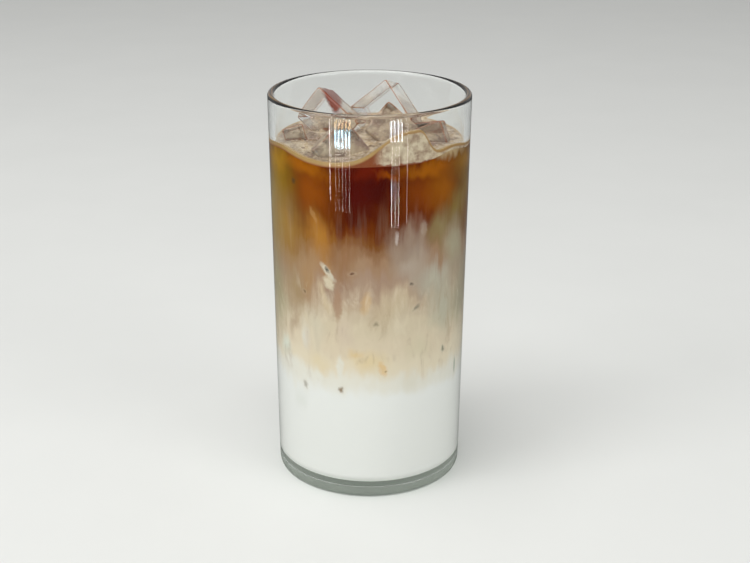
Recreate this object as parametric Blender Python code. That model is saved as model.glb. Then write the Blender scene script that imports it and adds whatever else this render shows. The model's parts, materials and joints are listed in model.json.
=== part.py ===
"""An iced latte in a tall straight glass: milk, latte and coffee in layers, a thin foam cap, and ice.

Metres, +Z up. The origin is the centre of the glass's base, and the photographed side faces -Y.
"""

import math

import bmesh
import bpy
from mathutils import Matrix, Vector, noise

MM = 0.001

# The glass, turned about Z
GLASS_HEIGHT = 150 * MM
RIM_RADIUS = 37.5 * MM
BASE_RADIUS = 35.6 * MM
WALL = 2.4 * MM
FLOOR_THICKNESS = 6.6 * MM
HEEL_ROUND = 3.0 * MM
INNER_CORNER_ROUND = 3.0 * MM
STANDING_RING_WIDTH = 2.6 * MM
UNDERSIDE_HOLLOW = 0.9 * MM
GLASS_SIDES = 96

# The drink's layers, heights above the table
GAP = 0.3 * MM
DRINK_SIDES = 64
RING_SHARES = (0.3, 0.55, 0.75, 0.9)
MILK_TOP = 51 * MM
MILK_SLOPE = 5 * MM
MILK_SLOPE_HIGH_SIDE = math.radians(-60)
LATTE_TOP = 110 * MM
LATTE_DIP = 4 * MM
LATTE_RIPPLE = 1 * MM

# The foam cap, whose edge is a wavy line on the glass
FOAM_TOP = 133.3 * MM
FOAM_THICKNESS = 1.8 * MM
FOAM_WAVES = {
    "dip at the front left": {"height": -1.2 * MM, "angle": math.radians(-27), "spread": math.radians(14)},
    "shoulder on the left": {"height": 1.6 * MM, "angle": math.radians(-61), "spread": math.radians(11)},
    "shoulder on the right": {"height": 2.3 * MM, "angle": math.radians(54), "spread": math.radians(11)},
}
FOAM_ROUGHNESS = 0.7 * MM
FOAM_ROUGHNESS_SCALE = 9 * MM
LUMP_HEIGHT = 10.2 * MM
LUMP_ANGLE = math.radians(29)
LUMP_LEFT_SPREAD = math.radians(27)
LUMP_RIGHT_SPREAD = math.radians(5.5)
LUMP_DEPTH_SHARE = 0.24

# Each block of ice: its top front corner in millimetres, turns in degrees, and edge lengths in millimetres
ICE_ROUND = 1.3 * MM
ICE_TAPER = 0.10
ICE_BLOCKS = {
    "ice_back": {"corner": (5.9, 17.0, 150.9), "turns": (-41, -11, -26), "edges": (19, 21, 13)},
    "ice_left": {"corner": (-19.2, 9.0, 149.8), "turns": (-54, -12, -20), "edges": (15, 21, 14)},
    "ice_right": {"corner": (25.2, -11.5, 142.5), "turns": (-24, -22, -20), "edges": (13, 17, 12)},
    "ice_front": {"corner": (-8.3, -21.2, 144.8), "turns": (-38, -14, 14), "edges": (16, 19, 17)},
    "ice_middle": {"corner": (6.9, -1.5, 147.0), "turns": (-48, -20, 4), "edges": (14, 15, 11)},
    "ice_side": {"corner": (28.4, 3.4, 138.5), "turns": (-6, -16, -6), "edges": (12, 14, 14)},
    "ice_edge": {"corner": (-24.2, -6.5, 140.0), "turns": (-14, -20, 10), "edges": (8, 13, 12)},
}


def material(name, colour, roughness, transmission=0.0):
    made = bpy.data.materials.new(name)
    made.use_nodes = True
    shader = made.node_tree.nodes["Principled BSDF"]
    shader.inputs["Base Color"].default_value = (*colour, 1.0)
    shader.inputs["Roughness"].default_value = roughness
    shader.inputs["Metallic"].default_value = 0.0
    shader.inputs["Transmission Weight"].default_value = transmission
    return made


def add_object(name, mesh, finish):
    part = bpy.data.objects.new(name, mesh)
    bpy.context.collection.objects.link(part)
    mesh.materials.append(finish)
    mesh.shade_smooth()
    mesh.set_sharp_from_angle(angle=math.radians(40))
    return part


def arc(centre, radius, start, end, steps):
    """Points on an arc in the (radius, height) plane, both ends included."""
    for step in range(steps + 1):
        angle = math.radians(start + (end - start) * step / steps)
        yield centre[0] + radius * math.cos(angle), centre[1] + radius * math.sin(angle)


def outer_radius(height):
    return BASE_RADIUS + (RIM_RADIUS - BASE_RADIUS) * height / GLASS_HEIGHT


def inner_radius(height):
    return outer_radius(height) - WALL


def glass_profile():
    """Half the glass cut through its axis: up the inside, over the lip, and down the outside to the base."""
    points = [(0.0, FLOOR_THICKNESS)]
    corner = inner_radius(FLOOR_THICKNESS) - INNER_CORNER_ROUND
    points += arc((corner, FLOOR_THICKNESS + INNER_CORNER_ROUND), INNER_CORNER_ROUND, -90, 0, 4)
    lip = WALL / 2
    points += arc((RIM_RADIUS - lip, GLASS_HEIGHT - lip), lip, 180, 0, 6)
    points += arc((BASE_RADIUS - HEEL_ROUND, HEEL_ROUND), HEEL_ROUND, 0, -90, 5)
    ring_inside = BASE_RADIUS - HEEL_ROUND - STANDING_RING_WIDTH
    points.append((ring_inside, 0.0))
    for share in (0.9, 0.7, 0.35):
        points.append((ring_inside * share, UNDERSIDE_HOLLOW * math.sqrt(1 - share**2)))
    points.append((0.0, UNDERSIDE_HOLLOW))
    return points


def make_glass():
    mesh = bpy.data.meshes.new("glass")
    points = glass_profile()
    edges = [(index, index + 1) for index in range(len(points) - 1)]
    mesh.from_pydata([(radius, 0.0, height) for radius, height in points], edges, [])
    glass = add_object("glass", mesh, material("clear_glass", (0.93, 0.97, 0.95), 0.03, 1.0))
    screw = glass.modifiers.new("turn", "SCREW")
    screw.axis = "Z"
    screw.steps = GLASS_SIDES
    screw.render_steps = GLASS_SIDES
    screw.use_merge_vertices = True
    screw.merge_threshold = 0.00001
    screw.use_smooth_shade = True
    return glass


def bell(distance, spread):
    return math.exp(-0.5 * (distance / spread) ** 2)


def milk_top(angle, share):
    return MILK_TOP + share * MILK_SLOPE * math.cos(2 * (angle - MILK_SLOPE_HIGH_SIDE))


def latte_top(angle, share):
    return LATTE_TOP - share * (LATTE_DIP * math.cos(2 * angle) - LATTE_RIPPLE * math.cos(5 * angle + 1))


def foam_lump(angle, share):
    """The heap of froth that rides up the glass at the front right: a long rise and then a steep fall."""
    if angle < LUMP_ANGLE:
        rise = math.exp(-(((LUMP_ANGLE - angle) / LUMP_LEFT_SPREAD) ** 3))
    else:
        rise = bell(angle - LUMP_ANGLE, LUMP_RIGHT_SPREAD)
    return LUMP_HEIGHT * rise * bell(1 - share, LUMP_DEPTH_SHARE)


def calm_foam(angle, share):
    """The foam's upper face without its lump and its bubbly unevenness."""
    waves = sum(wave["height"] * bell(angle - wave["angle"], wave["spread"]) for wave in FOAM_WAVES.values())
    return FOAM_TOP + share * waves


def foam_top(angle, share):
    across = share * inner_radius(FOAM_TOP) / FOAM_ROUGHNESS_SCALE
    place = Vector((across * math.sin(angle), -across * math.cos(angle), 0.5))
    uneven = FOAM_ROUGHNESS * noise.noise(place) * (1 - share**4)
    return calm_foam(angle, share) + foam_lump(angle, share) + uneven


def foam_bottom(angle, share):
    return calm_foam(angle, share) - FOAM_THICKNESS


def ring(radius, height):
    """Points round the axis. The angle is 0 at the front, -Y, and grows towards +X."""
    points = []
    for side in range(DRINK_SIDES):
        angle = 2 * math.pi * side / DRINK_SIDES - math.pi
        level = height(angle)
        across = radius(level)
        points.append(Vector((across * math.sin(angle), -across * math.cos(angle), level)))
    return points


def fit_in_glass(share):
    return lambda level: share * (inner_radius(level) - GAP)


def surface_rings(height, lift):
    """Rings from the axis to the wall over one face of a layer."""
    rings = []
    for share in (*RING_SHARES, 1.0):
        rings.append(ring(fit_in_glass(share), lambda angle, share=share: height(angle, share) + lift))
    return rings


def milk_floor_rings():
    """The rounded foot of the drink, where it fills the glass's inner corner."""
    wall = inner_radius(FLOOR_THICKNESS) - GAP
    floor = FLOOR_THICKNESS + GAP
    rings = []
    for radius, level in arc((wall - INNER_CORNER_ROUND, floor + INNER_CORNER_ROUND), INNER_CORNER_ROUND, -90, 0, 4):
        rings.append(ring(lambda _, radius=radius: radius, lambda _, level=level: level))
    return rings


def skin(rings):
    """A closed body over rings that run from the lower middle, out to the wall, and back to the upper middle."""
    shape = bmesh.new()
    loops = [[shape.verts.new(point) for point in points] for points in rings]
    for lower, upper in zip(loops, loops[1:]):
        for side in range(DRINK_SIDES):
            after = (side + 1) % DRINK_SIDES
            shape.faces.new((lower[side], lower[after], upper[after], upper[side]))
    for loop, points in ((loops[0], rings[0]), (loops[-1], rings[-1])):
        middle = shape.verts.new(sum(points, Vector()) / DRINK_SIDES)
        for side in range(DRINK_SIDES):
            shape.faces.new((middle, loop[(side + 1) % DRINK_SIDES], loop[side]))
    bmesh.ops.recalc_face_normals(shape, faces=shape.faces)
    return shape


def make_layer(name, rings, finish):
    shape = skin(rings)
    mesh = bpy.data.meshes.new(name)
    shape.to_mesh(mesh)
    shape.free()
    return add_object(name, mesh, finish)


def make_drink():
    milk_rings = milk_floor_rings() + surface_rings(milk_top, -GAP / 2)[::-1]
    latte_rings = surface_rings(milk_top, GAP / 2) + surface_rings(latte_top, -GAP / 2)[::-1]
    coffee_rings = surface_rings(latte_top, GAP / 2) + surface_rings(foam_bottom, -GAP / 2)[::-1]
    foam_rings = surface_rings(foam_bottom, GAP / 2) + surface_rings(foam_top, 0.0)[::-1]
    make_layer("milk", milk_rings, material("milk", (0.79, 0.80, 0.76), 0.35))
    make_layer("latte", latte_rings, material("latte", (0.50, 0.34, 0.24), 0.35))
    coffee = make_layer("coffee", coffee_rings, material("coffee", (0.20, 0.07, 0.02), 0.30))
    foam = make_layer("foam", foam_rings, material("foam", (0.62, 0.47, 0.30), 0.55))
    return coffee, foam


def ice_mesh(name, edges, swell):
    """A melted block with its top front corner at its own origin, pushed out all over by swell."""
    left, right, depth = (edge * MM for edge in edges)
    shape = bmesh.new()
    bmesh.ops.create_cube(shape, size=1.0)
    for vert in shape.verts:
        behind = vert.co.y + 0.5
        narrowing = 1 - ICE_TAPER * behind
        vert.co = Vector(((vert.co.x * narrowing - 0.5) * left, behind * depth, (vert.co.z * narrowing - 0.5) * right))
    bmesh.ops.bevel(
        shape,
        geom=shape.edges[:] + shape.verts[:],
        offset=ICE_ROUND,
        segments=3,
        profile=0.5,
        affect="EDGES",
    )
    bmesh.ops.triangulate(shape, faces=[face for face in shape.faces if len(face.verts) > 4])
    bmesh.ops.recalc_face_normals(shape, faces=shape.faces)
    shape.normal_update()
    for vert in shape.verts:
        vert.co += vert.normal * swell
    mesh = bpy.data.meshes.new(name)
    shape.to_mesh(mesh)
    shape.free()
    return mesh


def place_ice(piece, block):
    roll, pitch, yaw = (math.radians(turn) for turn in block["turns"])
    turned = Matrix.Rotation(yaw, 4, "Z") @ Matrix.Rotation(pitch, 4, "X") @ Matrix.Rotation(roll, 4, "Y")
    piece.matrix_world = Matrix.Translation(Vector(block["corner"]) * MM) @ turned


def make_ice(liquids):
    """The blocks that stand out of the drink. The foam and the coffee are cut round them."""
    finish = material("ice", (0.90, 0.92, 0.90), 0.06, 1.0)
    for name, block in ICE_BLOCKS.items():
        place_ice(add_object(name, ice_mesh(name, block["edges"], 0.0), finish), block)
        pocket = add_object(f"{name}_pocket", ice_mesh(f"{name}_pocket", block["edges"], 1.2 * GAP), finish)
        place_ice(pocket, block)
        pocket.hide_render = True
        pocket.display_type = "WIRE"
        for liquid in liquids:
            cut = liquid.modifiers.new(f"round_{name}", "BOOLEAN")
            cut.operation = "DIFFERENCE"
            cut.object = pocket


def clear_scene():
    for old in list(bpy.data.objects):
        bpy.data.objects.remove(old, do_unlink=True)


clear_scene()
make_glass()
make_ice(make_drink())
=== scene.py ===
# %% [markdown]
# An iced latte in a tall straight glass.
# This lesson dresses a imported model: a clear glass, a drink in soft layers from white milk up to dark
# coffee, a thin cap of froth, and blocks of ice that stand out at the mouth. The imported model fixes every
# size and place, so the first step loads it, and all later pieces are fitted to it.

# %% Load the frame
import json
import math

import bmesh
import bpy
import numpy as np
from mathutils import Matrix, Vector, noise

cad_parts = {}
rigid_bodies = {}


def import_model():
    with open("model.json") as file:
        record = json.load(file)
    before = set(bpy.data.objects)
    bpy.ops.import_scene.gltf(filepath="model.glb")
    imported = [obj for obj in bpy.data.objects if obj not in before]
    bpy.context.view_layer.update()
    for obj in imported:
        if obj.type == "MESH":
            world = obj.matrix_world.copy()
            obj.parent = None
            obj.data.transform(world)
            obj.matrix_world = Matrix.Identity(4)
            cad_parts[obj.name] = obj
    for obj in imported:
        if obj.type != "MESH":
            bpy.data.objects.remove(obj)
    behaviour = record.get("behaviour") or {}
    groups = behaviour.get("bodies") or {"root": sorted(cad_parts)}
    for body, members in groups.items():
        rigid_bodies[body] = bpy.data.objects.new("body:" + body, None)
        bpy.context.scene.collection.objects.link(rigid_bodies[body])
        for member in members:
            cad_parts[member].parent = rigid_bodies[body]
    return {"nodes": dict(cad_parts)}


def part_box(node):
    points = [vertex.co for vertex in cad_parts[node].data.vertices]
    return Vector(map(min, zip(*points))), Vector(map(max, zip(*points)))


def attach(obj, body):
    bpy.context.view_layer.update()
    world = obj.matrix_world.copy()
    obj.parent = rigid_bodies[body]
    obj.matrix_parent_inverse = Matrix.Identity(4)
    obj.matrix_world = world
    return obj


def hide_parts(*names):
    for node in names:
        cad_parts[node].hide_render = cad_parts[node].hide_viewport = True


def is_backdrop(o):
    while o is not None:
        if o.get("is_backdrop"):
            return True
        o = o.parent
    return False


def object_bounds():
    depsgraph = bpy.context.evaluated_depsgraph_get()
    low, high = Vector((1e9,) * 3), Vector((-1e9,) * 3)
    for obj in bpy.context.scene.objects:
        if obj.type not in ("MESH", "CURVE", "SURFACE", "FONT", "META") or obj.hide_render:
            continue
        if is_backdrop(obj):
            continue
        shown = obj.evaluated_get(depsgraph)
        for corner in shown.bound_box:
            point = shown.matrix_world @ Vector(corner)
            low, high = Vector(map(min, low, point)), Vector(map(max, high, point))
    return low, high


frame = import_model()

MM = 0.001
packed_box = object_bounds()
ICE_NODES = sorted(name for name in frame["nodes"] if name.startswith("ice_"))
print("ice blocks:", ICE_NODES)

# %% [markdown]
# The photograph was taken from half a metre in front of the glass and a little above it, with a short
# telephoto lens. The camera comes first, because every later choice is judged through it. A pitch, a small
# yaw and a tiny roll place the glass in the frame, so the lens needs no shift.

# %% Place the camera
CAMERA_DISTANCE = 504.1 * MM
CAMERA_HEIGHT = 267.3 * MM
CAMERA_PITCH = 0.3639
CAMERA_YAW = -0.0043
CAMERA_ROLL = 0.0034
LENS = 67.2
SENSOR = 36.0

camera_data = bpy.data.cameras.new("camera")
camera_data.lens = LENS
camera_data.sensor_width = SENSOR
camera_data.clip_start = 0.01
camera = bpy.data.objects.new("camera", camera_data)
bpy.context.scene.collection.objects.link(camera)
turned = (
    Matrix.Rotation(CAMERA_YAW, 4, "Z")
    @ Matrix.Rotation(math.pi / 2 - CAMERA_PITCH, 4, "X")
    @ Matrix.Rotation(CAMERA_ROLL, 4, "Z")
)
camera.matrix_world = Matrix.Translation((0, -CAMERA_DISTANCE, CAMERA_HEIGHT)) @ turned
bpy.context.scene.camera = camera
print("camera", round(camera_data.lens, 1), "mm lens")

# %% [markdown]
# A material is easiest to read as arithmetic. This small class wraps one output of a node, and adding or
# multiplying two of them adds the Math node that does it. Colours and vectors go through Mix and Vector
# Math instead, because a Math node would turn a colour grey. Every other node comes from one method, which
# sets a node's settings first and then its sockets.

# %% Shader arithmetic
def fill_ramp(ramp, stops):
    """Gives a colour ramp its stops, each a position and a colour."""
    while len(ramp.elements) < len(stops):
        ramp.elements.new(0.5)
    for element, (position, colour) in zip(ramp.elements, stops):
        element.position = position
        element.color = colour


class Wire:
    """One output socket of a finish, which Python operators can join to others."""

    def __init__(self, finish, socket):
        self.finish = finish
        self.socket = socket

    def __add__(self, other):
        return self.finish.maths("ADD", self, other)

    __radd__ = __add__

    def __sub__(self, other):
        return self.finish.maths("SUBTRACT", self, other)

    def __rsub__(self, other):
        return self.finish.maths("SUBTRACT", other, self)

    def __mul__(self, other):
        return self.finish.maths("MULTIPLY", self, other)

    __rmul__ = __mul__

    def step(self, low, high):
        """0 below low and 1 above high, with a smooth rise between. low may be the larger one."""
        flipped = low > high
        start, end = (high, low) if flipped else (low, high)
        targets = {3: 1.0, 4: 0.0} if flipped else {3: 0.0, 4: 1.0}
        settings = {"interpolation_type": "SMOOTHSTEP", "clamp": True}
        return self.finish.add("ShaderNodeMapRange", settings, {0: self, 1: start, 2: end, **targets})


class Finish:
    """A material and the wires that feed its Principled shader."""

    def __init__(self, name):
        self.material = bpy.data.materials.new(name)
        self.material.use_nodes = True
        self.nodes = self.material.node_tree.nodes
        self.links = self.material.node_tree.links
        self.shader = self.nodes["Principled BSDF"]
        self.output = self.nodes["Material Output"]

    def add(self, kind, settings, sockets, output=0):
        """Any node: its settings come first, then the values or wires of its sockets."""
        node = self.nodes.new(kind)
        for name, value in settings.items():
            if name == "stops":
                node.color_ramp.interpolation = "EASE"
                fill_ramp(node.color_ramp, value)
            else:
                setattr(node, name, value)
        for name, value in sockets.items():
            self.feed(node.inputs[name], value)
        return Wire(self, node.outputs[output])

    def feed(self, socket, value):
        if isinstance(value, Wire):
            self.links.new(value.socket, socket)
        else:
            socket.default_value = value

    def maths(self, operation, first, second=None):
        sockets = {0: first} if second is None else {0: first, 1: second}
        return self.add("ShaderNodeMath", {"operation": operation}, sockets)

    def vector_maths(self, operation, first, second):
        return self.add("ShaderNodeVectorMath", {"operation": operation}, {0: first, 1: second})

    def set(self, **values):
        """Feeds the Principled shader's sockets: base_color becomes Base Color."""
        for name, value in values.items():
            self.feed(self.shader.inputs[name.replace("_", " ").title().replace("Ior", "IOR")], value)

    def surface(self):
        """What the Principled shader gives."""
        return Wire(self, self.shader.outputs["BSDF"])

    def second_surface(self, colour, roughness, **sockets):
        """One more Principled shader, to be mixed with the first."""
        sockets = {"Base Color": colour, "Roughness": roughness, **sockets}
        return self.add("ShaderNodeBsdfPrincipled", {}, sockets, "BSDF")

    def see_through(self, tint):
        """A surface that light passes straight through."""
        return self.add("ShaderNodeBsdfTransparent", {}, {"Color": tint}, "BSDF")

    def cover(self, share, under, over):
        """The surface under, covered by the surface over where the share is 1."""
        return self.add("ShaderNodeMixShader", {}, {0: share, 1: under, 2: over}, "Shader")

    def place(self):
        """The object's own coordinates, in millimetres."""
        here = self.add("ShaderNodeTexCoord", {}, {}, "Object")
        return self.add("ShaderNodeVectorMath", {"operation": "SCALE"}, {0: here, "Scale": 1 / MM})

    def stretch(self, vector, factors):
        return self.vector_maths("MULTIPLY", vector, factors)

    def noise(self, vector, size, detail=3.0, roughness=0.55, distortion=0.0, output="Fac"):
        """Soft random shapes about size millimetres across."""
        sockets = {
            "Vector": vector,
            "Scale": 1 / size,
            "Detail": detail,
            "Roughness": roughness,
            "Distortion": distortion,
        }
        return self.add("ShaderNodeTexNoise", {}, sockets, output)

    def push(self, vector, source, size, amount, detail=3.0):
        """The vector, moved at random by up to half of amount, in swirls of the source about size across."""
        shove = self.noise(source, size, detail, output="Color")
        centred = self.vector_maths("SUBTRACT", shove, (0.5, 0.5, 0.5))
        return self.vector_maths("ADD", vector, self.stretch(centred, amount))

    def mix(self, mask, first, second):
        """first where the mask is 0, and second where it is 1."""
        sockets = {"Factor": mask, 6: first, 7: second}
        return self.add("ShaderNodeMix", {"data_type": "RGBA"}, sockets, 2)

    def bump(self, height, distance, strength):
        sockets = {"Height": height, "Distance": distance, "Strength": strength}
        return self.add("ShaderNodeBump", {}, sockets, "Normal")


def rgb(red, green, blue):
    """A colour as seen on a screen, 0 to 255, turned into the linear light that shaders use."""
    linear = []
    for level in (red, green, blue):
        share = level / 255
        linear.append(share / 12.92 if share <= 0.04045 else ((share + 0.055) / 1.055) ** 2.4)
    return (*linear, 1.0)


print("shader helpers ready")

# %% [markdown]
# The glass stands on a plain pale floor under soft studio light: a big soft light overhead, a weaker one
# from each side, and a dim room round them. Clear glass shows only what it bends and mirrors, so the room
# is darker near its horizon on the camera's side, which draws a darker line along the glass's edges. A
# photographer keeps a bright table out of the glass with dark cards or a filter. Here the floor looks
# dimmer to mirrored rays, so it lays no grey veil over the dark coffee.

# %% Floor, lights and room
FLOOR_HALF = 4.0
FLOOR_DROP = 0.15 * MM
FLOOR_PATCH_SIZE = 60.0
FLOOR_TONES = (rgb(205, 206, 203), rgb(209, 210, 207))
FLOOR_IN_MIRRORS = rgb(96, 97, 95)


def paint(piece, finish):
    """Makes the finish the only one on the piece."""
    piece.data.materials.clear()
    piece.data.materials.append(finish.material)


def add_mesh(name, mesh, finish=None):
    piece = bpy.data.objects.new(name, mesh)
    bpy.context.scene.collection.objects.link(piece)
    if finish is not None:
        paint(piece, finish)
    return piece


floor_finish = Finish("pale_floor")
floor_blotches = floor_finish.noise(floor_finish.place(), FLOOR_PATCH_SIZE, 2.0)
glossy_ray = floor_finish.add("ShaderNodeLightPath", {}, {}, "Is Glossy Ray")
reflection_ray = floor_finish.add("ShaderNodeLightPath", {}, {}, "Is Reflection Ray")
floor_tone = floor_finish.mix(floor_blotches, *FLOOR_TONES)
floor_finish.set(
    base_color=floor_finish.mix(glossy_ray * reflection_ray, floor_tone, FLOOR_IN_MIRRORS),
    roughness=0.75,
)
floor_mesh = bpy.data.meshes.new("floor")
floor_mesh.from_pydata(
    [(x * FLOOR_HALF, y * FLOOR_HALF, -FLOOR_DROP) for x, y in ((-1, -1), (1, -1), (1, 1), (-1, 1))],
    [],
    [(0, 1, 2, 3)],
)
add_mesh("floor", floor_mesh, floor_finish)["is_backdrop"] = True


def soft_light(name, place, target, width, height, power, colour=(1.0, 1.0, 1.0)):
    lamp = bpy.data.lights.new(name, "AREA")
    lamp.shape = "RECTANGLE"
    lamp.size = width
    lamp.size_y = height
    lamp.energy = power
    lamp.color = colour
    light = bpy.data.objects.new(name, lamp)
    bpy.context.scene.collection.objects.link(light)
    light.location = place
    light.rotation_euler = (Vector(target) - Vector(place)).to_track_quat("-Z", "Y").to_euler()
    return light


MIDDLE = (0.0, 0.0, 0.08)
# Each lamp: its place, its width and its height in metres, and its power in watts.
STUDIO_LAMPS = {
    "overhead": ((-0.25, -0.35, 1.5), 1.2, 1.2, 20.0),
    "left_side": ((-1.2, -0.7, 0.8), 0.7, 1.0, 7.0),
    "right_side": ((1.2, -0.9, 0.7), 0.7, 1.0, 6.0),
}
for name, (place, width, height, power) in STUDIO_LAMPS.items():
    soft_light(name, place, MIDDLE, width, height, power)

# The room's grey levels. Round about they go from the camera's side, at 0, to the far side, at 1. Upwards,
# the level overhead takes over.
ROOM_ROUND_ABOUT = ((0.0, 0.10), (0.35, 0.16), (0.6, 0.45), (1.0, 0.55))
ROOM_UPWARDS = ((0.0, 0.0), (0.6, 1.0))
ROOM_OVERHEAD = 0.45

room = bpy.data.worlds.new("room")
bpy.context.scene.world = room
room.use_nodes = True
room_nodes = room.node_tree.nodes
room_links = room.node_tree.links
direction = room_nodes.new("ShaderNodeTexCoord")
split = room_nodes.new("ShaderNodeSeparateXYZ")
room_links.new(direction.outputs["Generated"], split.inputs[0])


def grey(level):
    return (level, level, level, 1.0)


def room_ramp(source, stops):
    ramp = room_nodes.new("ShaderNodeValToRGB")
    room_links.new(source, ramp.inputs[0])
    fill_ramp(ramp.color_ramp, [(position, grey(level)) for position, level in stops])
    return ramp


from_front = room_nodes.new("ShaderNodeMath")
from_front.operation = "MULTIPLY_ADD"
from_front.inputs[1].default_value = 0.5
from_front.inputs[2].default_value = 0.5
room_links.new(split.outputs["Y"], from_front.inputs[0])
round_about = room_ramp(from_front.outputs[0], ROOM_ROUND_ABOUT)
upwards = room_ramp(split.outputs["Z"], ROOM_UPWARDS)
both = room_nodes.new("ShaderNodeMix")
both.data_type = "RGBA"
room_links.new(upwards.outputs[0], both.inputs["Factor"])
room_links.new(round_about.outputs[0], both.inputs[6])
both.inputs[7].default_value = grey(ROOM_OVERHEAD)
room_links.new(both.outputs[2], room_nodes["Background"].inputs["Color"])
room_nodes["Background"].inputs["Strength"].default_value = 1.0
bpy.context.scene.view_settings.view_transform = "Standard"
print("lit by", len(STUDIO_LAMPS), "lamps and the room")

# %% [markdown]
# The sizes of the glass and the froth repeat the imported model's own. The outline of the glass leans
# outwards by two millimetres over its height, and the froth's edge is a wavy line, so both are short
# functions.

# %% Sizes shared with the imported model
GLASS_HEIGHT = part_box("glass")[1].z
RIM_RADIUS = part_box("glass")[1].x
BASE_RADIUS = 35.6 * MM
WALL = 2.4 * MM
FLOOR_THICKNESS = 6.6 * MM
CORNER_ROUND = 3.0 * MM
HEEL_ROUND = 3.0 * MM
STANDING_RING_WIDTH = 2.6 * MM
UNDERSIDE_HOLLOW = 0.9 * MM
FOAM_TOP = 133.3 * MM
FOAM_THICKNESS = 1.8 * MM
FOAM_WAVES = {
    "dip at the front left": {"height": -1.2 * MM, "angle": math.radians(-27), "spread": math.radians(14)},
    "shoulder on the left": {"height": 1.6 * MM, "angle": math.radians(-61), "spread": math.radians(11)},
    "shoulder on the right": {"height": 2.3 * MM, "angle": math.radians(54), "spread": math.radians(11)},
}
LUMP_HEIGHT = 10.2 * MM
LUMP_ANGLE = math.radians(29)
LUMP_LEFT_SPREAD = math.radians(27)
LUMP_RIGHT_SPREAD = math.radians(5.5)
LUMP_DEPTH_SHARE = 0.24


def outer_radius(height):
    return BASE_RADIUS + (RIM_RADIUS - BASE_RADIUS) * height / GLASS_HEIGHT


def inner_radius(height):
    return outer_radius(height) - WALL


def bell(distance, spread):
    return math.exp(-0.5 * (distance / spread) ** 2)


def calm_foam(angle, share):
    """The froth's height without its heap, at an angle from the front and a share of the way to the wall."""
    waves = sum(wave["height"] * bell(angle - wave["angle"], wave["spread"]) for wave in FOAM_WAVES.values())
    return FOAM_TOP + share * waves


def foam_lump(angle, share):
    """How far the heap of froth at the front right stands above the rest."""
    if angle < LUMP_ANGLE:
        rise = math.exp(-(((LUMP_ANGLE - angle) / LUMP_LEFT_SPREAD) ** 3))
    else:
        rise = bell(angle - LUMP_ANGLE, LUMP_RIGHT_SPREAD)
    return LUMP_HEIGHT * rise * bell(1 - share, LUMP_DEPTH_SHARE)


print("inside width at the rim", round(2 * inner_radius(GLASS_HEIGHT) / MM, 1), "mm")

# %% [markdown]
# The glass is a turned piece: one outline, swept round the axis. The outline comes first. It runs over the
# inside bottom, up the wall, round the rim, down the outside with a fine groove near the foot, and round
# the heel to the standing ring and the shallow hollow underneath.

# %% Outline of the glass
LONG_RUN = 20 * MM
HOLDING_SHARE = 0.006
GROOVE_HEIGHT = 5.4 * MM
GROOVE_HALF = 0.35 * MM
GROOVE_DEPTH = 0.2 * MM
CORNER_STEPS = 12
RIM_STEPS = 20
HEEL_STEPS = 16
HOLLOW_STEPS = 12


def arc(centre, radius, start, end, steps):
    """Points along an arc, from one angle in degrees to another."""
    points = []
    for step in range(steps + 1):
        angle = math.radians(start + (end - start) * step / steps)
        points.append((centre[0] + radius * math.cos(angle), centre[1] + radius * math.sin(angle)))
    return points


def with_holding_points(points):
    """Adds a point just inside each end of the long straight runs, so that their normals don't lean."""
    held = []
    for start, end in zip(points, points[1:]):
        held.append(start)
        if math.dist(start, end) > LONG_RUN:
            for share in (HOLDING_SHARE, 1 - HOLDING_SHARE):
                held.append(tuple(a + (b - a) * share for a, b in zip(start, end)))
    return held + [points[-1]]


def glass_outline():
    """Radius and height of each point, from the inside bottom up over the rim and down to the underside."""
    points = [(0.0, FLOOR_THICKNESS)]
    corner = inner_radius(FLOOR_THICKNESS) - CORNER_ROUND
    points += arc((corner, FLOOR_THICKNESS + CORNER_ROUND), CORNER_ROUND, -90, 0, CORNER_STEPS)
    lip = WALL / 2
    points += arc((RIM_RADIUS - lip, GLASS_HEIGHT - lip), lip, 180, 0, RIM_STEPS)
    for above, inwards in ((GROOVE_HALF, 0.0), (0.0, GROOVE_DEPTH), (-GROOVE_HALF, 0.0)):
        points.append((outer_radius(GROOVE_HEIGHT + above) - inwards, GROOVE_HEIGHT + above))
    points += arc((BASE_RADIUS - HEEL_ROUND, HEEL_ROUND), HEEL_ROUND, 0, -90, HEEL_STEPS)
    ring_inside = BASE_RADIUS - HEEL_ROUND - STANDING_RING_WIDTH
    points.append((ring_inside, 0.0))
    for step in range(1, HOLLOW_STEPS):
        share = math.cos(math.pi / 2 * step / HOLLOW_STEPS)
        points.append((ring_inside * share, UNDERSIDE_HOLLOW * math.sqrt(1 - share**2)))
    points.append((0.0, UNDERSIDE_HOLLOW))
    return with_holding_points(points)


outline = glass_outline()
print("outline of", len(outline), "points")

# %% [markdown]
# A Geometry Nodes tree is a recipe that is run on a mesh. It is built here in the script, with named inputs
# for its sizes. When the tree has run, its result is kept as a plain mesh and the modifier comes off,
# because the export takes only plain meshes. A second helper tidies a mesh: doubled points are merged, and
# every face is turned outwards.

# %% Helpers for Geometry Nodes and meshes
MERGE_DISTANCE = 0.002 * MM
SHORTEST_EDGE = 0.001 * MM


def node_tree(name, inputs):
    """An empty Geometry Nodes tree with a geometry input and output, and the named inputs given."""
    tree = bpy.data.node_groups.new(name, "GeometryNodeTree")
    tree.interface.new_socket("Geometry", in_out="INPUT", socket_type="NodeSocketGeometry")
    tree.interface.new_socket("Geometry", in_out="OUTPUT", socket_type="NodeSocketGeometry")
    for label, kind in inputs.items():
        tree.interface.new_socket(label, in_out="INPUT", socket_type=kind)
    return tree, tree.nodes.new("NodeGroupInput"), tree.nodes.new("NodeGroupOutput")


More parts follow.
